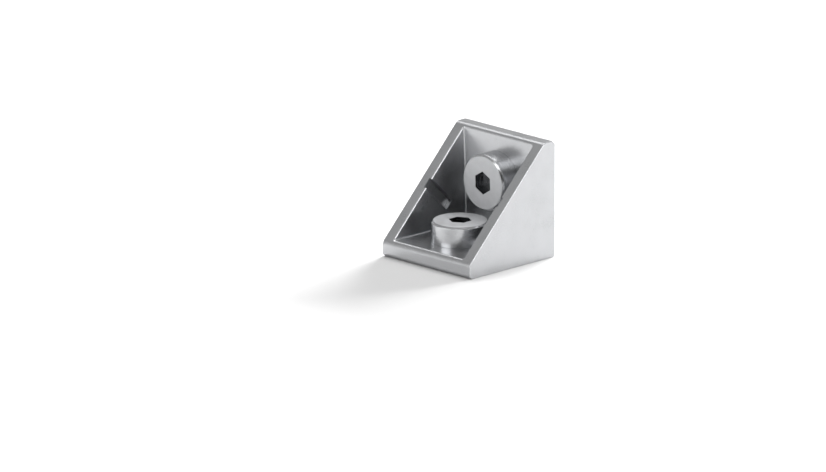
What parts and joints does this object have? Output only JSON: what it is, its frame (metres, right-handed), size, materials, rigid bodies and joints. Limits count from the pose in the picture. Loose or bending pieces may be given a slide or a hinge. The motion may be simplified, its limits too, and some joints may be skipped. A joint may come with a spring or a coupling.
{
  "type": "t slot corner bracket",
  "caption": "Die-cast corner bracket for slotted aluminium framing: a pocket between side walls with a sloping rim, low-head socket screws and slot nuts.",
  "frame": {"origin": "middle of the heel line, where the base and back seating planes meet", "axes": "+X across the bracket, +Y out of the back face, +Z out of the base, up along the upright"},
  "size_m": [0.0274, 0.035, 0.035],
  "materials": {
    "casting": "satin",
    "screw_steel": "satin",
    "nut_steel": "satin"
  },
  "bodies": {
    "root": {"bracket": "casting", "base_screw": "screw_steel", "upright_screw": "screw_steel", "base_slot_nut": "nut_steel", "upright_slot_nut": "nut_steel"}
  },
  "joints": []
}
